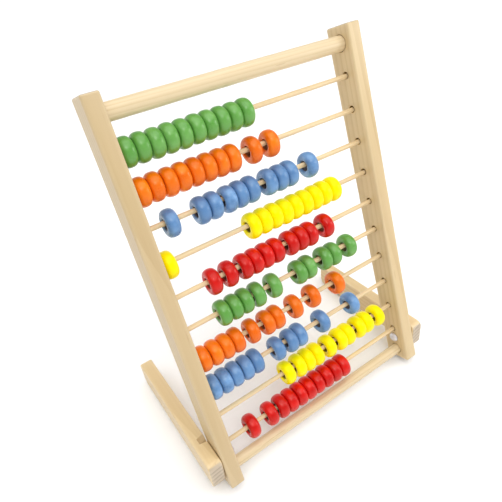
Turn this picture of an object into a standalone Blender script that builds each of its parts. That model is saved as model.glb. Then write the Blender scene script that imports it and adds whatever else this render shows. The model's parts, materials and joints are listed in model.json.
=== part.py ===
"""Wooden counting frame: a hundred beads on ten rods, standing on two folding feet.

Pieces are placed in the frame's own axes: X along the rods, Y from front to back, Z up the
uprights, with the origin level with the lowest rod. The empty leaning_frame then tips them back
by the angle at which the frame rests on its uprights and feet, and stands them on Z = 0.
"""

import math

import bmesh
import bpy
from mathutils import Matrix, Vector

# Uprights, in metres
STOCK_THICKNESS = 0.012
STOCK_DEPTH = 0.024
INNER_WIDTH = 0.189
EDGE_ROUNDING = 0.0014

# Rods and bars
ROD_COUNT = 10
ROD_SPACING = 0.026
ROD_DIAMETER = 0.0039
ROD_SOCKET_PLAY = 0.0016
SOCKET_DEPTH = 0.008
BOTTOM_BAR_DIAMETER = 0.0095
BOTTOM_BAR_ABOVE_END = 0.010
LOWEST_ROD_ABOVE_BAR = 0.023
TOP_BAR_DIAMETER = 0.012
TOP_BAR_ABOVE_ROD = 0.0235
TOP_END_ABOVE_BAR = 0.0125

# Beads
BEAD_DIAMETER = 0.0205
BEAD_THICKNESS = 0.0098
BEAD_BORE_PLAY = 0.0039
BEAD_NECK_DIAMETER = 0.0125
BEAD_SHOULDER_OUT = 0.80  # share of the way from the neck to the rim
BEAD_SHOULDER_UP = 0.66  # share of the half thickness

# Feet and their pivot screws
FOOT_LENGTH = 0.132
FOOT_HEIGHT = 0.0242
FOOT_THICKNESS = 0.0117
FOOT_SLOPE = math.radians(16)
FOOT_FRONT_OVERHANG = 0.0115
FOOT_FRONT_ROUNDING = 0.005
FOOT_HEEL_ROUNDING = 0.008
PIVOT_BELOW_ROD = 0.0097
SCREW_HEAD_DIAMETER = 0.0088
SCREW_HEAD_HEIGHT = 0.0030
SCREW_RIM_HEIGHT = 0.0004
SCREW_SHANK_DIAMETER = 0.005
SCREW_GRIP = 0.008
NOTCH_BEHIND_PIVOT = 0.0104
NOTCH_LENGTH = 0.0082
NOTCH_INTO_THICKNESS = 0.0066
NOTCH_DEPTH = 0.006
NOTCH_RAMP = 0.0046
NOTCH_TAPER = 0.0014

# Fits and facets
CLEARANCE = 0.0003
SIDES_BEAD = 12
SIDES_ROD = 12
SIDES_BAR = 20
DOME_STEPS = 5
MERGE = 0.00005

# Each rod from the top: its colour, its bead runs from the left as (empty length before the run,
# beads in the run), and the empty length after the last. The lengths share out the free rod.
ROWS = (
    ("green", ((0, 10),), 91),
    ("orange", ((0, 8), (8, 1), (5.5, 1)), 77.5),
    ("blue", ((12, 1), (13.5, 2), (2, 3), (6, 3), (9.5, 1)), 48),
    ("yellow", ((0.5, 1), (59.5, 9)), 31),
    ("red", ((27, 1), (3.5, 1), (3.5, 4), (4, 3), (7, 1)), 46),
    ("green", ((26.5, 3), (1.5, 1), (5.5, 1), (15.5, 2), (7, 2), (7.5, 1)), 27.5),
    ("orange", ((0, 4), (4.5, 1), (4, 2), (8.5, 1), (9, 1), (16.5, 1)), 48.5),
    ("blue", ((0, 5), (11, 1), (3.5, 2), (14.5, 1), (24, 1)), 38),
    ("yellow", ((63, 1), (2, 3), (4, 1), (2.5, 2), (3, 2), (4, 1)), 12.5),
    ("red", ((19, 1), (8.5, 1), (1.5, 8)), 62),
)

# Base colour, roughness and metallic value of each finish
FINISHES = {
    "pale_wood": ((0.80, 0.62, 0.40), 0.55, 0.0),
    "rod_wood": ((0.84, 0.70, 0.48), 0.55, 0.0),
    "steel": ((0.52, 0.49, 0.50), 0.38, 1.0),
    "green": ((0.10, 0.34, 0.08), 0.35, 0.0),
    "orange": ((0.90, 0.16, 0.01), 0.35, 0.0),
    "blue": ((0.11, 0.25, 0.54), 0.35, 0.0),
    "yellow": ((1.0, 0.83, 0.0), 0.35, 0.0),
    "red": ((0.70, 0.01, 0.01), 0.35, 0.0),
}

rod_socket = ROD_DIAMETER + ROD_SOCKET_PLAY
bead_bore = ROD_DIAMETER + BEAD_BORE_PLAY
top_rod = (ROD_COUNT - 1) * ROD_SPACING
bottom_bar_height = -LOWEST_ROD_ABOVE_BAR
top_bar_height = top_rod + TOP_BAR_ABOVE_ROD
upright_bottom = bottom_bar_height - BOTTOM_BAR_ABOVE_END
upright_length = top_bar_height + TOP_END_ABOVE_BAR - upright_bottom
upright_x = INNER_WIDTH / 2 + STOCK_THICKNESS / 2
foot_inner_x = INNER_WIDTH / 2 + STOCK_THICKNESS + CLEARANCE


def clear_scene():
    for thing in list(bpy.data.objects):
        bpy.data.objects.remove(thing, do_unlink=True)


def new_collection(name):
    made = bpy.data.collections.new(name)
    bpy.context.scene.collection.children.link(made)
    return made


def new_material(name, colour, roughness, metallic):
    made = bpy.data.materials.new(name)
    made.use_nodes = True
    shader = made.node_tree.nodes["Principled BSDF"]
    shader.inputs["Base Color"].default_value = (*colour, 1)
    shader.inputs["Roughness"].default_value = roughness
    shader.inputs["Metallic"].default_value = metallic
    made.diffuse_color = (*colour, 1)
    return made


def add_object(name, mesh, collection, parent=None):
    made = bpy.data.objects.new(name, mesh)
    collection.objects.link(made)
    made.parent = parent
    return made


def mesh_from(bm, name):
    mesh = bpy.data.meshes.new(name)
    bmesh.ops.recalc_face_normals(bm, faces=bm.faces)
    bm.to_mesh(mesh)
    bm.free()
    return mesh


def box_mesh(name, size):
    bm = bmesh.new()
    bmesh.ops.create_cube(bm, size=1)
    bmesh.ops.scale(bm, vec=size, verts=bm.verts)
    return mesh_from(bm, name)


def round_mesh(name, diameter, length, sides):
    """A cylinder along Z with flat ends."""
    bm = bmesh.new()
    bmesh.ops.create_cone(
        bm, cap_ends=True, segments=sides, radius1=diameter / 2, radius2=diameter / 2, depth=length
    )
    mesh = mesh_from(bm, name)
    mesh.shade_smooth()
    mesh.set_sharp_from_angle(angle=math.radians(40))
    return mesh


def along_x(piece, x, y, z):
    """Puts a piece made along Z so that it runs along X."""
    piece.rotation_euler = (0, math.pi / 2, 0)
    piece.location = (x, y, z)


def add_cut(piece, cutter):
    cut = piece.modifiers.new(cutter.name, "BOOLEAN")
    cut.operation = "DIFFERENCE"
    cut.solver = "EXACT"
    cut.object = cutter


def add_cutter(name, mesh, collection, parent):
    cutter = add_object(name, mesh, collection, parent)
    cutter.hide_render = True
    cutter.display_type = "WIRE"
    return cutter


def round_edges(piece, width, segments=2):
    bevel = piece.modifiers.new("rounded edges", "BEVEL")
    bevel.width = width
    bevel.segments = segments
    bevel.limit_method = "ANGLE"
    bevel.angle_limit = math.radians(50)


def turned(name, profile, sides, collection, parent):
    """A solid turned about Z from a closed profile of (radius, height) points."""
    bm = bmesh.new()
    points = [bm.verts.new((radius, 0, height)) for radius, height in profile]
    for index, point in enumerate(points):
        bm.edges.new((point, points[(index + 1) % len(points)]))
    mesh = bpy.data.meshes.new(name)
    bm.to_mesh(mesh)
    bm.free()
    piece = add_object(name, mesh, collection, parent)
    screw = piece.modifiers.new("turned", "SCREW")
    screw.axis = "Z"
    screw.steps = sides
    screw.render_steps = sides
    screw.use_merge_vertices = True
    screw.merge_threshold = MERGE
    screw.use_smooth_shade = True
    return piece


def bead_run_profile(count):
    """Outer scallops from the top down, then back up the bore."""
    half = BEAD_THICKNESS / 2 - CLEARANCE / 2 / count
    neck = BEAD_NECK_DIAMETER / 2
    widest = BEAD_DIAMETER / 2
    shoulder = neck + BEAD_SHOULDER_OUT * (widest - neck)
    rise = BEAD_SHOULDER_UP * half
    top = count * half
    points = [(bead_bore / 2, top), (neck, top)]
    for bead in range(count):
        middle = top - half - bead * 2 * half
        points.append((shoulder, middle + rise))
        points.append((widest, middle))
        points.append((shoulder, middle - rise))
        points.append((neck, middle - half))
    points.append((bead_bore / 2, -top))
    return points


def foot_mesh(name):
    """A block, origin at its pivot, with its front top edge and its heel rounded."""
    bm = bmesh.new()
    bmesh.ops.create_cube(bm, size=1)
    bmesh.ops.scale(bm, vec=(FOOT_THICKNESS, FOOT_LENGTH, FOOT_HEIGHT), verts=bm.verts)
    bmesh.ops.translate(bm, vec=(0, FOOT_LENGTH / 2 - FOOT_FRONT_OVERHANG, 0), verts=bm.verts)
    front_top = (-FOOT_FRONT_OVERHANG, FOOT_HEIGHT / 2)
    heel = (FOOT_LENGTH - FOOT_FRONT_OVERHANG, -FOOT_HEIGHT / 2)
    for corner, radius in ((front_top, FOOT_FRONT_ROUNDING), (heel, FOOT_HEEL_ROUNDING)):
        edges = [
            edge
            for edge in bm.edges
            if all((vert.co.yz - Vector(corner)).length < MERGE for vert in edge.verts)
        ]
        bmesh.ops.bevel(
            bm, geom=edges, offset=radius, segments=6, profile=0.5, affect="EDGES"
        )
    return mesh_from(bm, name)


def holes_mesh(name, holes, length):
    """Cylinders along X, one for each (height, diameter, sides)."""
    bm = bmesh.new()
    for height, across, sides in holes:
        bmesh.ops.create_cone(
            bm,
            cap_ends=True,
            segments=sides,
            radius1=across / 2,
            radius2=across / 2,
            depth=length,
            matrix=Matrix.Translation((0, 0, height)) @ Matrix.Rotation(math.pi / 2, 4, "Y"),
        )
    return mesh_from(bm, name)


def notch_mesh(name, blind_side):
    """A wedge about the foot's inner top edge. It narrows to its blind end, at +X or -X, and its
    rear wall comes forward on the way down.
    """
    bm = bmesh.new()
    bmesh.ops.create_cube(bm, size=2)
    for vert in bm.verts:
        taper = NOTCH_TAPER * vert.co.x * blind_side
        if vert.co.y > 0:
            vert.co.y = NOTCH_LENGTH / 2 - taper + NOTCH_RAMP * vert.co.z
        else:
            vert.co.y = -NOTCH_LENGTH / 2 + taper
        vert.co.x *= NOTCH_INTO_THICKNESS
        vert.co.z *= NOTCH_DEPTH
    return mesh_from(bm, name)


def screw_profile():
    """A domed head above Z = 0 and a plain shank below it, down to its end in the foot."""
    head = SCREW_HEAD_DIAMETER / 2
    shank = SCREW_SHANK_DIAMETER / 2
    rise = SCREW_HEAD_HEIGHT - SCREW_RIM_HEIGHT
    end = STOCK_THICKNESS + 2 * CLEARANCE + SCREW_GRIP
    turns = [math.pi / 2 * step / DOME_STEPS for step in range(DOME_STEPS + 1)]
    dome = [(head * math.sin(turn), SCREW_RIM_HEIGHT + rise * math.cos(turn)) for turn in turns]
    return dome + [(head, 0), (shank, 0), (shank, -end), (0, -end)]


def stand_on_floor(assembly, pieces):
    """Sets the lowest point at Z = 0 and the middle of the footprint at X = Y = 0."""
    bpy.context.view_layer.update()
    graph = bpy.context.evaluated_depsgraph_get()
    points = []
    for piece in pieces:
        evaluated = piece.evaluated_get(graph)
        mesh = evaluated.to_mesh()
        points += [evaluated.matrix_world @ vert.co for vert in mesh.vertices]
        evaluated.to_mesh_clear()
    low = Vector(min(point[axis] for point in points) for axis in range(3))
    high = Vector(max(point[axis] for point in points) for axis in range(3))
    assembly.location = (-(low.x + high.x) / 2, -(low.y + high.y) / 2, -low.z)


def stance():
    """The angle between the uprights' ends and the floor, which touches their rear end edges and
    the heels of both feet.
    """
    end = Vector((STOCK_DEPTH / 2 - EDGE_ROUNDING, upright_bottom + EDGE_ROUNDING))
    back = FOOT_LENGTH - FOOT_FRONT_OVERHANG - FOOT_HEEL_ROUNDING
    below = FOOT_HEEL_ROUNDING - FOOT_HEIGHT / 2
    heel = Vector(
        (
            back * math.cos(FOOT_SLOPE) - below * math.sin(FOOT_SLOPE),
            back * math.sin(FOOT_SLOPE) + below * math.cos(FOOT_SLOPE) - PIVOT_BELOW_ROD,
        )
    )
    reach = heel - end
    rise = math.asin((FOOT_HEEL_ROUNDING - EDGE_ROUNDING) / reach.length)
    return math.atan2(reach.y, reach.x) - rise


clear_scene()
parts = new_collection("counting_frame")
cutters = new_collection("cutters")
materials = {name: new_material(name, *finish) for name, finish in FINISHES.items()}

lean = stance()
down = Vector((0, math.sin(lean), -math.cos(lean)))
frame = bpy.data.objects.new("leaning_frame", None)
parts.objects.link(frame)
frame.rotation_euler = (-lean, 0, 0)

bar_sizes = {
    "bottom_bar": (bottom_bar_height, BOTTOM_BAR_DIAMETER),
    "top_bar": (top_bar_height, TOP_BAR_DIAMETER),
}
socketed_length = INNER_WIDTH + 2 * (SOCKET_DEPTH - CLEARANCE)

# Uprights, with a blind socket for each rod and bar, and a through hole for the pivot screw
for side, sign in (("left", -1), ("right", 1)):
    upright = add_object(
        f"{side}_upright",
        box_mesh("upright", (STOCK_THICKNESS, STOCK_DEPTH, upright_length)),
        parts,
        frame,
    )
    upright.location = (sign * upright_x, 0, upright_bottom + upright_length / 2)
    upright.data.materials.append(materials["pale_wood"])
    round_edges(upright, EDGE_ROUNDING)
    holes = [(index * ROD_SPACING, rod_socket, SIDES_ROD) for index in range(ROD_COUNT)]
    holes += [(height, across + 2 * CLEARANCE, SIDES_BAR) for height, across in bar_sizes.values()]
    socket_cutter = add_cutter(
        f"{side}_sockets", holes_mesh("sockets", holes, 2 * SOCKET_DEPTH), cutters, frame
    )
    socket_cutter.location = (sign * INNER_WIDTH / 2, 0, 0)
    add_cut(upright, socket_cutter)
    screw_hole = [(-PIVOT_BELOW_ROD, SCREW_SHANK_DIAMETER + 2 * CLEARANCE, SIDES_BAR)]
    hole_cutter = add_cutter(
        f"{side}_screw_hole", holes_mesh("screw_hole", screw_hole, 2 * STOCK_THICKNESS), cutters, frame
    )
    hole_cutter.location = (sign * upright_x, 0, 0)
    add_cut(upright, hole_cutter)

for name, (height, across) in bar_sizes.items():
    bar = add_object(name, round_mesh(name, across, socketed_length, SIDES_BAR), parts, frame)
    along_x(bar, 0, 0, height)
    bar.data.materials.append(materials["pale_wood"])

# Rods rest on the lower side of their sockets, and the beads hang on the rods
rod_drop = down * ((rod_socket - ROD_DIAMETER) / 2 - CLEARANCE)
bead_drop = rod_drop + down * ((bead_bore - ROD_DIAMETER) / 2 - CLEARANCE)
rod_mesh = round_mesh("rod", ROD_DIAMETER, socketed_length, SIDES_ROD)
rod_mesh.materials.append(materials["rod_wood"])
for row, (colour, runs, last_gap) in enumerate(ROWS):
    height = top_rod - row * ROD_SPACING
    free_length = INNER_WIDTH - sum(count for gap, count in runs) * BEAD_THICKNESS
    gap_scale = free_length / (sum(gap for gap, count in runs) + last_gap)
    rod = add_object(f"rod_{row + 1:02d}", rod_mesh, parts, frame)
    along_x(rod, 0, rod_drop.y, height + rod_drop.z)
    left_end = -INNER_WIDTH / 2
    for run, (gap, count) in enumerate(runs):
        left_end += max(gap * gap_scale, CLEARANCE)
        length = count * BEAD_THICKNESS - CLEARANCE
        beads = turned(
            f"{colour}_beads_{row + 1:02d}_{'abcdef'[run]}",
            bead_run_profile(count),
            SIDES_BEAD,
            parts,
            frame,
        )
        along_x(beads, left_end + length / 2, bead_drop.y, height + bead_drop.z)
        beads.data.materials.append(materials[colour])
        left_end += count * BEAD_THICKNESS

# Feet on the outer faces, each turning on its pivot screw
for side, sign in (("left", -1), ("right", 1)):
    pivot = bpy.data.objects.new(f"{side}_pivot", None)
    parts.objects.link(pivot)
    pivot.parent = frame
    pivot.location = (sign * (foot_inner_x + FOOT_THICKNESS / 2), 0, -PIVOT_BELOW_ROD)
    pivot.rotation_euler = (FOOT_SLOPE, 0, 0)
    foot = add_object(f"{side}_foot", foot_mesh("foot"), parts, pivot)
    foot.data.materials.append(materials["pale_wood"])
    round_edges(foot, EDGE_ROUNDING)
    notch_cutter = add_cutter(f"{side}_notch", notch_mesh("notch", sign), cutters, pivot)
    notch_cutter.location = (
        -sign * FOOT_THICKNESS / 2,
        NOTCH_BEHIND_PIVOT + NOTCH_LENGTH / 2,
        FOOT_HEIGHT / 2,
    )
    add_cut(foot, notch_cutter)
    grip_hole = [(0, SCREW_SHANK_DIAMETER + 2 * CLEARANCE, SIDES_BAR)]
    grip_cutter = add_cutter(
        f"{side}_grip_hole",
        holes_mesh("grip_hole", grip_hole, 2 * (SCREW_GRIP + CLEARANCE)),
        cutters,
        pivot,
    )
    grip_cutter.location = (-sign * FOOT_THICKNESS / 2, 0, 0)
    add_cut(foot, grip_cutter)
    screw = turned(f"{side}_pivot_screw", screw_profile(), SIDES_BAR, parts, frame)
    screw.data.materials.append(materials["steel"])
    screw.location = (sign * (INNER_WIDTH / 2 - CLEARANCE), 0, -PIVOT_BELOW_ROD)
    screw.rotation_euler = (0, -sign * math.pi / 2, 0)

stand_on_floor(frame, [piece for piece in parts.objects if piece.type == "MESH"])
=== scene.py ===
import json
import math
import random

import bmesh
import bpy
from mathutils import Matrix, Quaternion, Vector


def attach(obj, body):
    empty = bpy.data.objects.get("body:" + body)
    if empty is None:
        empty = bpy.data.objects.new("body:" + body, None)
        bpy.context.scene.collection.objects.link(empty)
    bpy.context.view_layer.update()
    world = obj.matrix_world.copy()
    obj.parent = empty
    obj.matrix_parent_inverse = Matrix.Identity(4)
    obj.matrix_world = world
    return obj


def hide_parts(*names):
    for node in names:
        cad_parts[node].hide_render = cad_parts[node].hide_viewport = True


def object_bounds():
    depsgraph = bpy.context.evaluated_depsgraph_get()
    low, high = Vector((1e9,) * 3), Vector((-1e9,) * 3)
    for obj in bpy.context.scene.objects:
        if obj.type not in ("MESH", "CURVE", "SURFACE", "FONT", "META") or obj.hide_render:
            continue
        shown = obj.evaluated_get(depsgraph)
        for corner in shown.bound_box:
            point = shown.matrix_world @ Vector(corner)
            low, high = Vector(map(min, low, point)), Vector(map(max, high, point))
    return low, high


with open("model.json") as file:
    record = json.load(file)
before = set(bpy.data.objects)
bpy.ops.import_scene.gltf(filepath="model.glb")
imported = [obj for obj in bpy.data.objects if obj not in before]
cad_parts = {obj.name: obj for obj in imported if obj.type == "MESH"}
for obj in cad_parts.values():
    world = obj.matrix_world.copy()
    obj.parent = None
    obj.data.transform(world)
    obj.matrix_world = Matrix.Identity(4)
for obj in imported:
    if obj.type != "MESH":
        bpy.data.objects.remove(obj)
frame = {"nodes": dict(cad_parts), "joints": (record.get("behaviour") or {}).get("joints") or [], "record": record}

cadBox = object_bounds()
random.seed(41)

# the frame leans back: tilt turns its own axes (X along the rods, Z up the uprights) into the room's
backMount = next(m for m in frame["record"]["mounts"] if m["name"] == "left_back")
lean = math.asin(-backMount["axis"][2])
tilt = Matrix.Rotation(-lean, 4, "X")
down = tilt.inverted() @ Vector((0, 0, -1))  # gravity, in the frame's own axes


def boxAlong(node, axes):
    # low and high corners of a solid, measured along the given axes
    points = [axes.inverted() @ vert.co for vert in frame["nodes"][node].data.vertices]
    low = Vector(min(p[i] for p in points) for i in range(3))
    high = Vector(max(p[i] for p in points) for i in range(3))
    return low, high


def leaningBox(node):
    # centre and size of a solid, measured along the leaning frame's axes
    low, high = boxAlong(node, tilt)
    return (low + high) / 2, high - low


# meshes and objects

weldDistance = 1e-7
flatWeight = 80  # how far the broad faces outweigh the eased edges in the shading


def addPiece(name, mesh, material, where, body, replaced):
    piece = bpy.data.objects.new(name, mesh)
    bpy.context.scene.collection.objects.link(piece)
    mesh.materials.append(material)
    piece.matrix_world = where
    for node in replaced:
        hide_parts(node)
    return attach(piece, body)


def meshFrom(bm, name):
    mesh = bpy.data.meshes.new(name)
    bmesh.ops.recalc_face_normals(bm, faces=bm.faces)
    bm.to_mesh(mesh)
    bm.free()
    return mesh


def shadeSoft(mesh, degrees):
    mesh.shade_smooth()
    mesh.set_sharp_from_angle(angle=math.radians(degrees))


def keepFlat(piece):
    # broad faces stay flat in the shading, and only the eased edges turn
    weighted = piece.modifiers.new("flat faces", "WEIGHTED_NORMAL")
    weighted.keep_sharp = True
    weighted.weight = flatWeight


def turnedMesh(name, profile, steps):
    # a closed (radius, height) outline spun about Z
    bm = bmesh.new()
    rings = []
    for step in range(steps):
        turn = 2 * math.pi * step / steps
        rings.append([bm.verts.new((r * math.cos(turn), r * math.sin(turn), h)) for r, h in profile])
    count = len(profile)
    for step in range(steps):
        here, after = rings[step], rings[(step + 1) % steps]
        for i in range(count):
            j = (i + 1) % count
            bm.faces.new((here[i], after[i], after[j], here[j]))
    bmesh.ops.remove_doubles(bm, verts=bm.verts, dist=weldDistance)
    return meshFrom(bm, name)


def sliceAt(bm, place, normal):
    # a row of new edges across the mesh, with nothing taken away
    bmesh.ops.bisect_plane(
        bm, geom=list(bm.verts) + list(bm.edges) + list(bm.faces), plane_co=place, plane_no=normal
    )


def cutWith(piece, cutterMesh, where):
    # exact cut, baked into the piece at once, with the cutter taken away again
    cutter = bpy.data.objects.new("cutter", cutterMesh)
    bpy.context.scene.collection.objects.link(cutter)
    cutter.matrix_world = where
    cut = piece.modifiers.new("cut", "BOOLEAN")
    cut.operation = "DIFFERENCE"
    cut.solver = "EXACT"
    cut.object = cutter
    bpy.context.view_layer.update()
    applied = bpy.data.meshes.new_from_object(
        piece.evaluated_get(bpy.context.evaluated_depsgraph_get())
    )
    piece.modifiers.clear()
    piece.data = applied
    bpy.data.objects.remove(cutter)


def pinMesh(name, diameter, length, steps, across=0.0):
    # a plain round pin along Z for drilling; across lays it along X instead
    bm = bmesh.new()
    bmesh.ops.create_cone(
        bm, cap_ends=True, segments=steps, radius1=diameter / 2, radius2=diameter / 2, depth=length,
        matrix=Matrix.Rotation(across, 4, "Y"),
    )
    return meshFrom(bm, name)


# node helpers

class Nodes:
    # short hand for building a node tree
    def __init__(self, material):
        self.tree = material.node_tree
        self.shader = self.tree.nodes["Principled BSDF"]

    def add(self, kind, links=(), values=(), **settings):
        made = self.tree.nodes.new(kind)
        for key, value in settings.items():
            setattr(made, key, value)
        for key, value in dict(values).items():
            made.inputs[key].default_value = value
        for key, source in dict(links).items():
            self.tree.links.new(source, made.inputs[key])
        return made

    def math(self, operation, first, second=None, third=None, clamp=False):
        made = self.add("ShaderNodeMath", operation=operation, use_clamp=clamp)
        for index, value in enumerate((first, second, third)):
            if value is None:
                continue
            if isinstance(value, (int, float)):
                made.inputs[index].default_value = value
            else:
                self.tree.links.new(value, made.inputs[index])
        return made.outputs[0]

    def ramp(self, value, low, high):
        # 0 below low, 1 above high, soft between
        made = self.add("ShaderNodeMapRange", {"Value": value}, interpolation_type="SMOOTHSTEP")
        made.inputs["From Min"].default_value = low
        made.inputs["From Max"].default_value = high
        return made.outputs["Result"]

    def noise(self, vector, scale, detail=3.0, rough=0.5, seed=None):
        made = self.add(
            "ShaderNodeTexNoise", {"Vector": vector},
            {"Scale": scale, "Detail": detail, "Roughness": rough},
            noise_dimensions="4D" if seed is not None else "3D",
        )
        if seed is not None:
            self.tree.links.new(seed, made.inputs["W"])
        return made.outputs["Fac"]

    def stretched(self, vector, x, y, z):
        made = self.add("ShaderNodeVectorMath", {0: vector}, operation="MULTIPLY")
        made.inputs[1].default_value = (x, y, z)
        return made.outputs[0]

    def mix(self, factor, first, second, blend="MIX"):
        made = self.add("ShaderNodeMix", data_type="RGBA", blend_type=blend)
        for index, value in ((0, factor), (6, first), (7, second)):
            if isinstance(value, (int, float)):
                made.inputs[index].default_value = value
            elif isinstance(value, (tuple, list)):
                made.inputs[index].default_value = (*value, 1)
            else:
                self.tree.links.new(value, made.inputs[index])
        return made.outputs[2]

    def bump(self, height, strength, distance, below=None):
        made = self.add("ShaderNodeBump", {"Height": height})
        made.inputs["Strength"].default_value = strength
        made.inputs["Distance"].default_value = distance
        if below is not None:
            self.tree.links.new(below, made.inputs["Normal"])
        return made.outputs[0]

    def into(self, socket, source):
        self.tree.links.new(source, self.shader.inputs[socket])


def newMaterial(name):
    material = bpy.data.materials.new(name)
    material.use_nodes = True
    return material, Nodes(material)


# wood: grain runs along each piece's own Z

def woodMaterial(name, look):
    material, n = newMaterial(name)
    place = n.add("ShaderNodeTexCoord")
    seed = n.add("ShaderNodeAttribute", attribute_name="stockSeed").outputs["Fac"]
    edge = n.add("ShaderNodeAttribute", attribute_name="edgeWear").outputs["Fac"]
    here = place.outputs["Object"]

    # slow wander of the grain, then rings round a pith that lies outside the stick
    wander = n.add(
        "ShaderNodeTexNoise", {"Vector": n.stretched(here, 1, 1, 0.18), "W": seed},
        {"Scale": look["wanderScale"], "Detail": 2.0}, noise_dimensions="4D",
    ).outputs["Color"]
    centred = n.add("ShaderNodeVectorMath", {0: wander}, operation="SUBTRACT")
    centred.inputs[1].default_value = (0.5, 0.5, 0.5)
    bent = n.add("ShaderNodeVectorMath", {0: centred.outputs[0]}, operation="SCALE")
    bent.inputs["Scale"].default_value = look["wander"]
    shifted = n.add(
        "ShaderNodeVectorMath", {0: here, 1: bent.outputs[0]}, operation="ADD"
    ).outputs[0]
    apart = n.add("ShaderNodeSeparateXYZ", {0: shifted})
    pithX = n.math("MULTIPLY_ADD", seed, look["pithSpread"], look["pith"][0])
    sideways = n.math("SUBTRACT", apart.outputs[0], pithX)
    climb = n.math("MULTIPLY", apart.outputs[2], look["slope"])
    depth = n.math("SUBTRACT", n.math("ADD", apart.outputs[1], climb), look["pith"][1])
    radius = n.math(
        "SQRT", n.math("ADD", n.math("MULTIPLY", sideways, sideways), n.math("MULTIPLY", depth, depth))
    )
    ring = n.math("FRACT", n.math("DIVIDE", radius, look["ringWidth"]))
    late = n.ramp(ring, *look["lateRise"])
    late = n.math("MULTIPLY", late, n.ramp(ring, *look["lateFall"]))

    fibre = n.noise(n.stretched(here, 1, 1, 0.02), look["fibreScale"], 4.0, 0.6, seed)
    streak = n.noise(n.stretched(here, 1, 1, 0.035), look["streakScale"], 3.0, 0.55, seed)
    cloud = n.noise(n.stretched(here, 1, 1, 0.3), look["cloudScale"], 2.0, 0.5, seed)
    fleck = n.noise(n.stretched(here, 1, 1, 0.09), look["fleckScale"], 1.0, 0.4, seed)
    fleck = n.ramp(fleck, *look["fleckRange"])

    # which faces are sawn across the grain
    facing = n.add("ShaderNodeSeparateXYZ", {0: place.outputs["Normal"]}).outputs[2]
    ends = n.add("ShaderNodeAttribute", attribute_name="atEnd").outputs["Fac"]
    endGrain = n.math("MULTIPLY", n.ramp(n.math("ABSOLUTE", facing), *look["endFacing"]), ends)

    tone = n.math("MULTIPLY", streak, look["streakDepth"])
    tone = n.math("MULTIPLY_ADD", late, look["ringDepth"], tone)
    tone = n.math("MULTIPLY_ADD", fibre, look["fibreDepth"], tone, clamp=True)
    colour = n.mix(tone, look["light"], look["dark"])
    blushed = n.math("MULTIPLY", n.ramp(cloud, 0.35, 0.7), look["cloudDepth"])
    colour = n.mix(blushed, colour, look["blush"])
    colour = n.mix(n.math("MULTIPLY", fleck, look["fleckDepth"]), colour, look["fleck"])
    endTone = n.math("MULTIPLY_ADD", late, 0.55, n.math("MULTIPLY", fibre, 0.35), clamp=True)
    endColour = n.mix(endTone, look["endLight"], look["endDark"])
    colour = n.mix(endGrain, colour, endColour)
    rubbed = n.math("MULTIPLY", edge, n.math("MULTIPLY_ADD", streak, 0.9, 0.1))
    colour = n.mix(n.math("MULTIPLY", rubbed, look["edgeWear"]), colour, look["worn"])
    # painted shade: socket walls are darkened toward the inside colour, standing in for the shade deep in the
    # holes
    paintedSocketShade = n.add("ShaderNodeAttribute", attribute_name="socketShade").outputs["Fac"]
    colour = n.mix(paintedSocketShade, colour, look["inside"])
    # per-piece tone; the left upright's lower tone is painted shade, darkening that stick as if its front got less
    # light
    toneAndShade = n.add("ShaderNodeAttribute", attribute_name="pieceToneAndShade").outputs["Fac"]
    n.into("Base Color", n.mix(1.0, colour, toneAndShade, "MULTIPLY"))

    gloss = n.math("MULTIPLY_ADD", fibre, 0.16, look["roughness"])
    gloss = n.math("MULTIPLY_ADD", endGrain, 0.22, gloss)
    gloss = n.math("MULTIPLY_ADD", rubbed, -0.06, gloss, clamp=True)
    n.into("Roughness", gloss)
    relief = n.math("MULTIPLY_ADD", fibre, 0.6, n.math("MULTIPLY", late, -0.5))
    relief = n.math("MULTIPLY_ADD", fleck, -0.5, relief)
    n.into("Normal", n.bump(relief, look["bump"], look["bumpDepth"]))
    n.shader.inputs["Specular IOR Level"].default_value = look["specular"]
    n.shader.inputs["Coat Weight"].default_value = look["coat"]
    n.shader.inputs["Coat Roughness"].default_value = look["coatRoughness"]
    return material


stickWood = {
    "light": (0.745, 0.575, 0.320), "dark": (0.520, 0.355, 0.150), "blush": (0.640, 0.465, 0.255),
    "fleck": (0.500, 0.320, 0.160), "endLight": (0.540, 0.440, 0.320), "endDark": (0.290, 0.230, 0.175),
    # inside: the colour of the painted shade in the sockets
    "worn": (0.900, 0.770, 0.540), "inside": (0.500, 0.340, 0.090),
    "pith": (0.004, 0.045), "pithSpread": 0.02, "slope": 0.022, "ringWidth": 0.0044,
    "wander": 0.0050, "wanderScale": 22.0, "ringDepth": 0.28, "streakDepth": 0.46, "fibreDepth": 0.24,
    "streakScale": 260.0, "fibreScale": 1500.0, "cloudScale": 28.0, "cloudDepth": 0.45,
    "fleckScale": 520.0, "fleckDepth": 0.40, "fleckRange": (0.70, 0.78),
    "lateRise": (0.35, 0.97), "lateFall": (1.0, 0.965), "endFacing": (0.55, 0.85), "edgeWear": 0.35,
    "roughness": 0.43, "bump": 0.22, "bumpDepth": 0.0003, "specular": 0.50, "coat": 0.35,
    "coatRoughness": 0.26,
}
dowelWood = dict(
    stickWood, light=(0.810, 0.670, 0.440), dark=(0.620, 0.465, 0.250), blush=(0.720, 0.565, 0.350),
    ringWidth=0.0026, ringDepth=0.40, pith=(0.010, 0.017), streakDepth=0.72, cloudDepth=0.60,
)
rodWood = dict(
    stickWood, light=(0.840, 0.680, 0.420), dark=(0.660, 0.460, 0.230), ringWidth=0.0018,
    ringDepth=0.30, pith=(0.006, 0.010), streakScale=700.0, fibreScale=2600.0, fleckScale=900.0,
)
paleWood = woodMaterial("pale_sanded_wood", stickWood)
dowelFinish = woodMaterial("pale_dowel_wood", dowelWood)
rodFinish = woodMaterial("rod_dowel_wood", rodWood)


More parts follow.
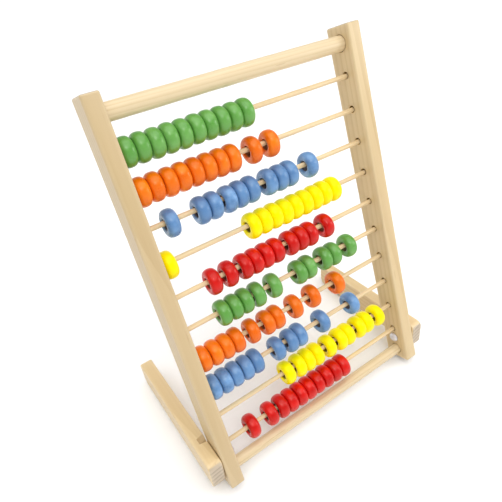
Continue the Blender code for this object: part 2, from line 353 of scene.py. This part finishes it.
marks = {
    "wearReach": 2.2,  # in roundings, how far the wear reaches in from an edge
    "endReach": 3, "endShare": 0.25,  # away from the ends, little of the end grain shows
    "skin": 0.0003,  # deeper than this is inside a hole
}


def writeValues(mesh, name, values):
    mesh.attributes.new(name, "FLOAT", "POINT").data.foreach_set("value", values)


def markStick(mesh, seed, half, rounding, sockets=(), tone=1.0):
    # per-point values the wood reads: seed, tone (lowered as painted shade on the left upright), sanded edges,
    # painted shade in the sockets and sawn ends
    worn, dark, cutEnd = [], [], []
    for vert in mesh.vertices:
        near = sorted(h - abs(c) for h, c in zip(half, vert.co))
        inHole = near[0] > marks["skin"] and any(
            (vert.co - centre).yz.length < reach for centre, reach in sockets
        )
        worn.append(0.0 if inHole else max(0.0, 1 - near[1] / rounding))
        # points deep in a socket get painted shade
        dark.append(1.0 if inHole else 0.0)
        atEnd = half[2] - abs(vert.co.z) < marks["endReach"] * rounding
        cutEnd.append(1.0 if atEnd else marks["endShare"])
    count = len(mesh.vertices)
    writeValues(mesh, "stockSeed", [seed] * count)
    writeValues(mesh, "pieceToneAndShade", [tone] * count)
    writeValues(mesh, "edgeWear", worn)
    writeValues(mesh, "socketShade", dark)
    writeValues(mesh, "atEnd", cutEnd)


# uprights

# leftTone, below rightTone, is painted shade: the left upright is made darker as if it got less light
upright = {
    "rounding": 0.0014, "roundSteps": 4, "socket": 0.0055, "socketDepth": 0.0078, "rim": 0.00035,
    "barPlay": 0.0006, "screwHole": 0.0056, "sides": 40, "divisions": 6, "rodRest": 0.0003,
    "reach": 0.0001, "sharp": 32, "leftTone": 0.88, "rightTone": 0.96, "leftSeed": 0.3, "rightSeed": 0.8,
}


def stickMesh(name, size, rounding, steps, divisions):
    # a planed stick along Z: rounded edges, with cuts along it so that the wear can fade
    bm = bmesh.new()
    bmesh.ops.create_cube(bm, size=1)
    bmesh.ops.scale(bm, vec=size, verts=bm.verts)
    bmesh.ops.bevel(
        bm, geom=list(bm.edges), offset=rounding, segments=steps, profile=0.5, affect="EDGES",
        clamp_overlap=True,
    )
    for axis in range(2):
        inset = size[axis] / 2 - marks["wearReach"] * rounding
        for place in (-inset, inset):
            normal = Vector((axis == 0, axis == 1, 0))
            sliceAt(bm, normal * place, normal)
    for index in range(1, divisions):
        sliceAt(bm, (0, 0, size[2] * (index / divisions - 0.5)), (0, 0, 1))
    return meshFrom(bm, name)


def drillPin(across, depth, rim, sides):
    # drill with a slight countersink, so that the mouth of the hole is eased
    half = across / 2
    profile = (
        (0, depth), (half + rim * 2, depth), (half + rim * 2, rim), (half + rim, 0),
        (half + rim * 0.4, -rim * 0.4), (half, -rim), (half, -depth), (0, -depth),
    )
    return turnedMesh("drill", profile, sides)


rodNodes = sorted(node for node in frame["nodes"] if node.startswith("rod_"))
for side, sign in (("left", -1), ("right", 1)):
    node = side + "_upright"
    centre, size = leaningBox(node)
    mesh = stickMesh(node, size, upright["rounding"], upright["roundSteps"], upright["divisions"])
    piece = addPiece(
        side + "_upright_stick", mesh, paleWood, tilt @ Matrix.Translation(centre), "frame",
        [node],
    )
    drills = []
    inner = centre.x - sign * size.x / 2
    for rod in rodNodes:
        rodCentre, rodSize = leaningBox(rod)
        drop = down * ((upright["socket"] - rodSize.z) / 2 - upright["rodRest"])
        drills.append((rodCentre - drop, upright["socket"], upright["socketDepth"]))
    for bar in ("top_bar", "bottom_bar"):
        barCentre, barSize = leaningBox(bar)
        drills.append((barCentre, barSize.y + upright["barPlay"], upright["socketDepth"]))
    pivot = leaningBox(side + "_pivot_screw")[0]
    drills.append((pivot, upright["screwHole"], 2 * size.x))
    turn = Matrix.Rotation(-sign * math.pi / 2, 4, "Y")
    for place, across, depth in drills:
        mouth = Vector((inner, place.y, place.z))
        cutWith(
            piece, drillPin(across, depth, upright["rim"], upright["sides"]),
            tilt @ Matrix.Translation(mouth) @ turn,
        )
    # how far round each hole the painted socket shade reaches
    reaches = [(Vector((inner, p.y, p.z)) - centre, a / 2 + upright["reach"]) for p, a, _ in drills]
    markStick(
        piece.data, upright[side + "Seed"], size / 2, marks["wearReach"] * upright["rounding"], reaches,
        upright[side + "Tone"],
    )
    shadeSoft(piece.data, upright["sharp"])
    keepFlat(piece)
print("uprights done")

# bars and rods

dowel = {
    "barSides": 64, "rodSides": 32, "edge": 0.0004, "rings": 24, "sag": 0.00008, "sharp": 40,
    "barSeed": 3, "rodSeed": 11, "seedStep": 0.37, "barTurn": 2.1, "rodTurn": 1.7,
}


def dowelMesh(name, diameter, length, sides, seed):
    # slightly uneven round stock along Z, eased at both ends
    rng = random.Random(seed)
    half, radius, edge = length / 2, diameter / 2, dowel["edge"]
    heights = [half * (2 * i / dowel["rings"] - 1) for i in range(1, dowel["rings"])]
    wobble = [(1 + rng.uniform(-1, 1) * dowel["sag"] / radius) * radius for _ in heights]
    profile = [(0, -half), (radius - edge, -half), (radius, -half + edge)]
    profile += list(zip(wobble, heights))
    profile += [(radius, half - edge), (radius - edge, half), (0, half)]
    mesh = turnedMesh(name, profile, sides)
    markStick(mesh, seed * dowel["seedStep"] % 1.0, (1, 1, half), edge * 3)
    shadeSoft(mesh, dowel["sharp"])
    return mesh


lying = Matrix.Rotation(math.pi / 2, 4, "Y")
for index, node in enumerate(("top_bar", "bottom_bar")):
    centre, size = leaningBox(node)
    mesh = dowelMesh(node, size.y - 2 * dowel["sag"], size.x, dowel["barSides"], dowel["barSeed"] + index)
    spun = Matrix.Rotation(dowel["barTurn"] + index, 4, "Z")
    addPiece(
        node + "_dowel", mesh, dowelFinish, tilt @ Matrix.Translation(centre) @ lying @ spun, "frame",
        [node],
    )
for index, node in enumerate(rodNodes):
    centre, size = leaningBox(node)
    mesh = dowelMesh(node, size.y - 2 * dowel["sag"], size.x, dowel["rodSides"], dowel["rodSeed"] + index)
    spun = Matrix.Rotation(index * dowel["rodTurn"], 4, "Z")
    addPiece(
        node + "_dowel", mesh, rodFinish, tilt @ Matrix.Translation(centre) @ lying @ spun, "frame",
        [node],
    )
print("bars and rods done")

# feet and pivot screws

foot = {
    "rounding": 0.0014, "roundSteps": 4, "frontRounding": 0.005, "heelRounding": 0.008,
    "cornerSteps": 12, "notchBehindPivot": 0.0104, "notchLength": 0.0082, "notchIn": 0.0066,
    "notchDepth": 0.006, "notchRamp": 0.0046, "notchTaper": 0.0014, "screwHole": 0.0056,
    "grip": 0.0083, "holeSides": 32, "slices": (0.05, 0.3, 0.5, 0.7, 0.93), "sharp": 32, "sharpEdge": 35,
    "tone": 1.06, "leftSeed": 0.15, "rightSeed": 0.6,
}
joints = {joint["name"]: joint for joint in frame["joints"]}


def footMesh(name, size, frontEnd):
    # a planed block with its length along Z (front at -Z), its height along -Y
    bm = bmesh.new()
    bmesh.ops.create_cube(bm, size=1)
    bmesh.ops.scale(bm, vec=size, verts=bm.verts)
    bmesh.ops.translate(bm, vec=(0, 0, size.z / 2 + frontEnd), verts=bm.verts)
    low, high = frontEnd, frontEnd + size.z
    corners = (
        ((-size.y / 2, low), foot["frontRounding"]),
        ((size.y / 2, high), foot["heelRounding"]),
    )
    for (up, along), radius in corners:
        edges = [
            edge for edge in bm.edges
            if all(abs(v.co.y - up) + abs(v.co.z - along) < 1e-5 for v in edge.verts)
        ]
        bmesh.ops.bevel(
            bm, geom=edges, offset=radius, segments=foot["cornerSteps"], profile=0.5, affect="EDGES"
        )
    sharp = [edge for edge in bm.edges if edge.calc_face_angle(0) > math.radians(foot["sharpEdge"])]
    bmesh.ops.bevel(
        bm, geom=sharp, offset=foot["rounding"], segments=foot["roundSteps"], profile=0.5,
        affect="EDGES", clamp_overlap=True,
    )
    inset = marks["wearReach"] * foot["rounding"]
    cuts = [((0, s * (size.y / 2 - inset), 0), (0, 1, 0)) for s in (-1, 1)]
    cuts += [((s * (size.x / 2 - inset), 0, 0), (1, 0, 0)) for s in (-1, 1)]
    cuts += [((0, 0, low + size.z * share), (0, 0, 1)) for share in foot["slices"]]
    for place, normal in cuts:
        sliceAt(bm, place, normal)
    return meshFrom(bm, name)


def notchMesh(blindSide):
    # a wedge about the inner top edge: it narrows to the blind end and its rear wall ramps forward
    bm = bmesh.new()
    bmesh.ops.create_cube(bm, size=2)
    for vert in bm.verts:
        taper = foot["notchTaper"] * vert.co.x * blindSide
        if vert.co.z > 0:
            vert.co.z = foot["notchLength"] / 2 - taper - foot["notchRamp"] * vert.co.y
        else:
            vert.co.z = -foot["notchLength"] / 2 + taper
        vert.co.x *= foot["notchIn"]
        vert.co.y *= foot["notchDepth"]
    return meshFrom(bm, "notch")


for side, sign in (("left", -1), ("right", 1)):
    node = side + "_foot"
    fold = joints[side + "_foot_fold"]
    pivot = Vector(fold["pos_m"])
    slope = Matrix.Rotation(math.radians(-fold["range_deg"][0]), 4, "X")
    # grain axes: Z back along the foot, Y down through its height
    axes = Matrix.Translation(pivot) @ tilt @ slope @ Matrix.Rotation(-math.pi / 2, 4, "X")
    low, high = boxAlong(node, axes)
    centreX = (low.x + high.x) / 2
    mesh = footMesh(node, high - low, low.z)
    place = axes @ Matrix.Translation((centreX, 0, 0))
    piece = addPiece(side + "_foot_block", mesh, paleWood, place, side + "_foot", [node])
    inward = -sign * (high.x - low.x) / 2
    topFace = -(high.y - low.y) / 2
    notchPlace = (inward, topFace, foot["notchBehindPivot"] + foot["notchLength"] / 2)
    cutWith(piece, notchMesh(sign), place @ Matrix.Translation(notchPlace))
    hole = pinMesh("hole", foot["screwHole"], 2 * foot["grip"], foot["holeSides"], math.pi / 2)
    cutWith(piece, hole, place @ Matrix.Translation((inward, 0, 0)))
    middle = Vector((0, 0, (low.z + high.z) / 2))
    half = (high - low) / 2
    mesh = piece.data
    mesh.transform(Matrix.Translation(-middle))
    markStick(
        mesh, foot[side + "Seed"], half, marks["wearReach"] * foot["rounding"], tone=foot["tone"]
    )
    mesh.transform(Matrix.Translation(middle))
    shadeSoft(mesh, foot["sharp"])
    keepFlat(piece)
print("feet done")

screw = {
    "sides": 64, "shank": 0.005, "rim": 0.0004, "headHeight": 0.0030, "domeSteps": 14, "sharp": 35,
}


def screwMaterial(look):
    material, n = newMaterial("brushed_screw_steel")
    place = n.add("ShaderNodeTexCoord").outputs["Object"]
    apart = n.add("ShaderNodeSeparateXYZ", {0: place})
    square = n.math("MULTIPLY", apart.outputs[0], apart.outputs[0])
    radius = n.math("SQRT", n.math("MULTIPLY_ADD", apart.outputs[1], apart.outputs[1], square))
    rings = n.noise(n.add("ShaderNodeCombineXYZ", {0: radius}).outputs[0], 9000.0, 4.0, 0.7)
    scratch = n.noise(n.stretched(place, 1, 0.04, 1), 5200.0, 3.0, 0.7)
    stain = n.noise(place, 420.0, 4.0, 0.6)
    colour = n.mix(n.ramp(stain, 0.35, 0.75), look["bright"], look["dull"])
    colour = n.mix(n.math("MULTIPLY", n.ramp(rings, 0.45, 0.7), 0.25), colour, look["groove"])
    n.into("Base Color", colour)
    rough = n.math("MULTIPLY_ADD", stain, 0.22, look["roughness"])
    n.into("Roughness", n.math("MULTIPLY_ADD", scratch, 0.12, rough, clamp=True))
    relief = n.math("MULTIPLY_ADD", scratch, 0.4, n.math("MULTIPLY", rings, 0.6))
    n.into("Normal", n.bump(relief, look["bump"], look["bumpDepth"]))
    n.shader.inputs["Metallic"].default_value = 1.0
    return material


screwSteel = screwMaterial({
    "bright": (0.80, 0.79, 0.82), "dull": (0.66, 0.64, 0.67), "groove": (0.48, 0.46, 0.49),
    "roughness": 0.34, "bump": 0.35, "bumpDepth": 0.00005,
})
for side, sign in (("left", -1), ("right", 1)):
    node = side + "_pivot_screw"
    centre, size = leaningBox(node)
    head, shank, end = size.y / 2, screw["shank"] / 2, size.x - screw["headHeight"]
    top, rim = screw["headHeight"], screw["rim"]
    turns = [math.pi / 2 * i / screw["domeSteps"] for i in range(screw["domeSteps"] + 1)]
    dome = [(head * math.sin(a), rim + (top - rim) * math.cos(a)) for a in turns]
    profile = dome + [(head, rim * 0.4), (head - rim * 0.4, 0), (shank, 0), (shank, -end), (0, -end)]
    mesh = turnedMesh(node, profile, screw["sides"])
    shadeSoft(mesh, screw["sharp"])
    headEnd = Vector((centre.x - sign * (size.x / 2 - top), centre.y, centre.z))
    turn = Matrix.Rotation(-sign * math.pi / 2, 4, "Y")
    addPiece(
        node + "_steel", mesh, screwSteel, tilt @ Matrix.Translation(headEnd) @ turn, side + "_foot",
        [node],
    )
print("screws done")

# beads

bead = {
    "pitch": 0.0098, "runGap": 0.0003, "thickness": 0.00945, "diameter": 0.0204, "bore": 0.0078,
    "faceRing": 0.0125, "lipDrop": 0.0017, "outerPower": 2.4, "outerSteps": 9, "lipSteps": 5,
    "boreSteps": 4, "sides": 56, "uneven": 0.00009, "flat": 0.00010, "tiltInRun": 1.1,
    "tiltAlone": 2.6, "swingShare": 0.6, "nodShare": 0.5, "runLean": 0.8,
    "mostInRun": 1.5, "mostAlone": 2.0,  # degrees that still clear the upright at the end of a rod
    "sideways": 0.00030, "upDown": 0.00024,
}


def paintMaterial(name, look):
    # brushed-on satin paint over turned wood, rubbed thin where beads knock together
    material, n = newMaterial(name)
    place = n.add("ShaderNodeTexCoord").outputs["Object"]
    seed = n.add("ShaderNodeAttribute", attribute_name="beadSeed").outputs["Fac"]
    apart = n.add("ShaderNodeSeparateXYZ", {0: place})
    square = n.math("MULTIPLY", apart.outputs[0], apart.outputs[0])
    radius = n.math("SQRT", n.math("MULTIPLY_ADD", apart.outputs[1], apart.outputs[1], square))
    height = n.math("ABSOLUTE", apart.outputs[2])

    cloud = n.noise(place, 130.0, 3.0, 0.5, seed)
    streak = n.noise(n.stretched(place, 1, 1, 0.16), 900.0, 3.0, 0.6, seed)
    speck = n.noise(place, 2400.0, 2.0, 0.5, seed)
    colour = n.mix(n.ramp(cloud, 0.3, 0.72), look["deep"], look["paint"])
    colour = n.mix(n.math("MULTIPLY", n.ramp(streak, 0.5, 0.8), look["streak"]), colour, look["pale"])
    own = n.math("MULTIPLY", n.math("FRACT", n.math("MULTIPLY", seed, 7.31)), look["beadSpread"])
    colour = n.mix(own, colour, look["deep"])

    # knocked rings on both faces; painted shade in blotches on the lip round the bore, and painted shade over the
    # bare wood in the bore
    face = n.math("MULTIPLY", n.ramp(height, *look["faceHeight"]), n.ramp(cloud, 0.40, 0.66))
    colour = n.mix(n.math("MULTIPLY", face, look["knocked"]), colour, look["pale"])
    shadeBlotch = n.ramp(n.noise(place, 700.0, 3.0, 0.6, seed), 0.45, 0.6)
    lip = n.math("MULTIPLY", n.ramp(radius, *look["lipRadius"]), shadeBlotch)
    bore = n.ramp(radius, *look["boreRadius"])
    shadedBare = n.mix(streak, look["shadedBare"], look["shadedBareDark"])
    # painted shade: the lip round the bore is darkened toward the deep colour
    colour = n.mix(n.math("MULTIPLY", lip, look["lipShade"]), colour, look["deep"])
    # the bore's bare wood is darkened well below its own colour: painted shade inside the bore
    colour = n.mix(n.math("MULTIPLY", bore, look["boreShade"]), colour, shadedBare)
    n.into("Base Color", colour)

    rough = n.math("MULTIPLY_ADD", cloud, 0.16, look["roughness"])
    rough = n.math("MULTIPLY_ADD", speck, 0.08, rough)
    rough = n.math("MULTIPLY_ADD", face, -0.07, rough)
    n.into("Roughness", n.math("MULTIPLY_ADD", bore, 0.25, rough, clamp=True))
    turned = n.add("ShaderNodeCombineXYZ", {2: apart.outputs[2], 0: radius}).outputs[0]
    lathe = n.noise(turned, 1500.0, 2.0)
    relief = n.math("MULTIPLY_ADD", streak, 0.55, n.math("MULTIPLY", lathe, 0.35))
    fine = n.bump(speck, look["fineBump"], look["fineDepth"])
    n.into("Normal", n.bump(relief, look["bump"], look["bumpDepth"], fine))
    n.shader.inputs["Specular IOR Level"].default_value = look["specular"]
    n.shader.inputs["Specular Tint"].default_value = (*look["sheen"], 1)
    return material


paints = {
    "green": {
        "paint": (0.165, 0.420, 0.090), "deep": (0.095, 0.310, 0.045), "pale": (0.330, 0.600, 0.230),
        "sheen": (0.95, 1.0, 0.90),
    },
    "orange": {
        "paint": (0.930, 0.215, 0.002), "deep": (0.780, 0.125, 0.001), "pale": (1.0, 0.320, 0.060),
        "sheen": (1.0, 0.80, 0.50),
    },
    "blue": {
        "paint": (0.190, 0.385, 0.680), "deep": (0.085, 0.205, 0.420), "pale": (0.380, 0.570, 0.820),
        "sheen": (0.95, 0.98, 1.0),
    },
    "yellow": {
        "paint": (1.0, 0.900, 0.0), "deep": (1.0, 0.800, 0.0), "pale": (1.0, 0.960, 0.010),
        "sheen": (1.0, 0.95, 0.15),
    },
    "red": {
        "paint": (0.790, 0.007, 0.003), "deep": (0.500, 0.002, 0.001), "pale": (0.860, 0.045, 0.030),
        "sheen": (1.0, 0.55, 0.50),
    },
}
commonPaint = {
    "streak": 0.20, "beadSpread": 0.90, "knocked": 0.30, "roughness": 0.18, "bump": 0.13,
    "bumpDepth": 0.00016, "fineBump": 0.10, "fineDepth": 0.00004, "specular": 0.60,
    "faceHeight": (0.0041, 0.0047), "lipRadius": (0.00475, 0.00425), "boreRadius": (0.00418, 0.00400),
    # bare and shadedBareDark: bare wood in the bore, darkened as painted shade
    "lipShade": 0.40, "boreShade": 0.8, "shadedBare": (0.16, 0.11, 0.07), "shadedBareDark": (0.08, 0.05, 0.03),
}
paintFinishes = {
    colour: paintMaterial(colour + "_bead_paint", {**commonPaint, **look})
    for colour, look in paints.items()
}


def beadProfile():
    # from the top of the bore over the face ring and the rim, to the other end of the bore
    half, rim, bore = bead["thickness"] / 2, bead["diameter"] / 2, bead["bore"] / 2
    ring, drop, power = bead["faceRing"] / 2, bead["lipDrop"], bead["outerPower"]
    outer = []
    for i in range(bead["outerSteps"] + 1):
        turn = i / bead["outerSteps"] * math.pi / 2
        out = math.sin(turn) ** (2 / power)
        up = math.cos(turn) ** (2 / power) if i < bead["outerSteps"] else 0.0
        outer.append((ring + (rim - ring) * out, half * up))
    lip = []
    for i in range(bead["lipSteps"]):
        turn = (1 - i / bead["lipSteps"]) * math.pi / 2
        lip.append((ring - (ring - bore) * math.sin(turn), half - drop + drop * math.cos(turn)))
    upper = lip + outer
    lower = [(r, -h) for r, h in reversed(upper[:-1])]
    wall = half - drop
    inside = [
        (bore, -wall + 2 * wall * i / bead["boreSteps"]) for i in range(1, bead["boreSteps"])
    ]
    return upper + lower + inside


def beadMesh(name, rng):
    mesh = turnedMesh(name, beadProfile(), bead["sides"])
    rim = bead["diameter"] / 2
    phases = [(rng.uniform(0, 6.3), rng.uniform(0.3, 1.0)) for _ in range(4)]
    flatTurn = rng.uniform(0, 6.3)
    for vert in mesh.vertices:
        r = math.hypot(vert.co.x, vert.co.y)
        if r < bead["bore"] / 2 + 0.0003:
            continue
        turn = math.atan2(vert.co.y, vert.co.x)
        share = (r - bead["bore"] / 2) / (rim - bead["bore"] / 2)
        out = sum(a * math.cos((k + 2) * turn + p) for k, (p, a) in enumerate(phases))
        side = math.cos(2 * turn + phases[1][0]) * (1 if vert.co.z > 0 else -0.6)
        flat = max(0.0, math.cos(turn - flatTurn)) ** 6
        shift = share * (bead["uneven"] * (out / 4 - 1) - bead["flat"] * flat)
        vert.co.x += shift * math.cos(turn)
        vert.co.y += shift * math.sin(turn)
        vert.co.z -= math.copysign(abs(side) * bead["uneven"] * 0.5 * share, vert.co.z)
    seeds = mesh.attributes.new("beadSeed", "FLOAT", "POINT")
    seeds.data.foreach_set("value", [rng.uniform(0, 20)] * len(mesh.vertices))
    mesh.shade_smooth()
    return mesh


runs = sorted(node for node in frame["nodes"] if "_beads_" in node)
placed = {}
for node in runs:
    colour, _, row, _ = node.split("_")
    centre, size = leaningBox(node)
    count = round((size.x + bead["runGap"]) / bead["pitch"])
    step = size.x / count
    runLean = random.gauss(0, bead["runLean"])
    for index in range(count):
        placed[row] = placed.get(row, 0) + 1
        name = f"{colour}_bead_{row}_{placed[row]:02d}"
        rng = random.Random(f"{row}-{placed[row]}")
        spread = bead["tiltAlone"] if count == 1 else bead["tiltInRun"]
        most = bead["mostAlone"] if count == 1 else bead["mostInRun"]
        swing = rng.gauss(0, spread * bead["swingShare"]) + (runLean if count > 1 else 0)
        nod = rng.gauss(0, spread * bead["nodShare"])
        swing, nod = (max(-most, min(most, angle)) for angle in (swing, nod))
        x = centre.x - size.x / 2 + (index + 0.5) * step
        side = rng.uniform(-1, 1) * bead["sideways"]
        drop = rng.uniform(-0.8, 1) * bead["upDown"]
        spot = Vector((x, centre.y + side, centre.z)) + down * drop
        turn = (
            Matrix.Rotation(math.radians(swing), 4, "Z") @ Matrix.Rotation(math.radians(nod), 4, "Y")
            @ lying @ Matrix.Rotation(rng.uniform(0, 6.3), 4, "Z")
        )
        replaced = [node] if index == 0 else []
        addPiece(
            name, beadMesh(name, rng), paintFinishes[colour], tilt @ Matrix.Translation(spot) @ turn,
            node, replaced,
        )
print("beads done:", sum(placed.values()))

# floor, light and camera

room = {
    "floor": 25.0, "floorDrop": 0.0003, "floorColour": (0.94, 0.94, 0.935), "floorRough": 0.62,
    "horizonWorld": 0.84, "overheadWorld": 0.34, "fadeFrom": 0.10, "fadeTo": 0.55,
    "keyPower": 1.4, "keySize": 0.32, "keyPlace": (-0.14, -0.46, 1.02),
    "sidePower": 2.1, "sideSize": 0.45, "sidePlace": (0.76, -0.56, 0.60),
    "skyPower": 2.50, "skySpread": 85,
}


def floorMaterial(look):
    material, n = newMaterial("pale_floor")
    place = n.add("ShaderNodeTexCoord").outputs["Object"]
    grainy = n.noise(place, 60.0, 4.0, 0.6)
    low = tuple(c * 0.985 for c in look["floorColour"])
    n.into("Base Color", n.mix(grainy, look["floorColour"], low))
    n.into("Roughness", n.math("MULTIPLY_ADD", grainy, 0.1, look["floorRough"]))
    n.into("Normal", n.bump(grainy, 0.05, 0.0005))
    n.shader.inputs["Specular IOR Level"].default_value = 0.2
    return material


floorMesh = bmesh.new()
bmesh.ops.create_grid(floorMesh, x_segments=4, y_segments=4, size=room["floor"])
floor = bpy.data.objects.new("floor", meshFrom(floorMesh, "floor"))
bpy.context.scene.collection.objects.link(floor)
floor.data.materials.append(floorMaterial(room))
floor.location.z = cadBox[0].z - room["floorDrop"]

middle = (cadBox[0] + cadBox[1]) / 2
overhead = bpy.data.lights.new("overhead", "SUN")  # even light on the floor, near and far
overhead.energy = room["skyPower"]
overhead.angle = math.radians(room["skySpread"])
bpy.context.scene.collection.objects.link(bpy.data.objects.new("overhead_light", overhead))
for name in ("key", "side"):
    lamp = bpy.data.lights.new(name, "AREA")
    lamp.energy = room[name + "Power"]
    lamp.shape = "DISK"
    lamp.size = room[name + "Size"]
    holder = bpy.data.objects.new(name + "_light", lamp)
    bpy.context.scene.collection.objects.link(holder)
    holder.location = room[name + "Place"]
    holder.rotation_mode = "QUATERNION"
    holder.rotation_quaternion = (middle - holder.location).to_track_quat("-Z", "Y")

world = bpy.data.worlds.new("studio")
bpy.context.scene.world = world
world.use_nodes = True
sky = world.node_tree.nodes["Background"]
sky.inputs["Color"].default_value = (1.0, 1.0, 1.0, 1)
heading = world.node_tree.nodes.new("ShaderNodeTexCoord")
climb = world.node_tree.nodes.new("ShaderNodeSeparateXYZ")
fade = world.node_tree.nodes.new("ShaderNodeMapRange")  # a pale wall that dims overhead
fade.interpolation_type = "SMOOTHSTEP"
for socket, key in (
    ("From Min", "fadeFrom"), ("From Max", "fadeTo"),
    ("To Min", "horizonWorld"), ("To Max", "overheadWorld"),
):
    fade.inputs[socket].default_value = room[key]
world.node_tree.links.new(heading.outputs["Generated"], climb.inputs[0])
world.node_tree.links.new(climb.outputs[2], fade.inputs["Value"])
world.node_tree.links.new(fade.outputs["Result"], sky.inputs["Strength"])

view = {
    "lens": 32.845, "sensor": 36.0, "clip": (0.01, 20.0), "place": (-0.16581, -0.21140, 0.38253),
    "turn": (0.86418, 0.40373, -0.10457, -0.28151),
}
lensData = bpy.data.cameras.new("camera")
lensData.lens = view["lens"]
lensData.sensor_width = view["sensor"]
lensData.clip_start, lensData.clip_end = view["clip"]
camera = bpy.data.objects.new("camera", lensData)
bpy.context.scene.collection.objects.link(camera)
camera.location = view["place"]
camera.rotation_mode = "QUATERNION"
camera.rotation_quaternion = Quaternion(view["turn"]).normalized()
bpy.context.scene.camera = camera
bpy.context.scene.view_settings.view_transform = "Standard"
print("floor, lights and camera done")
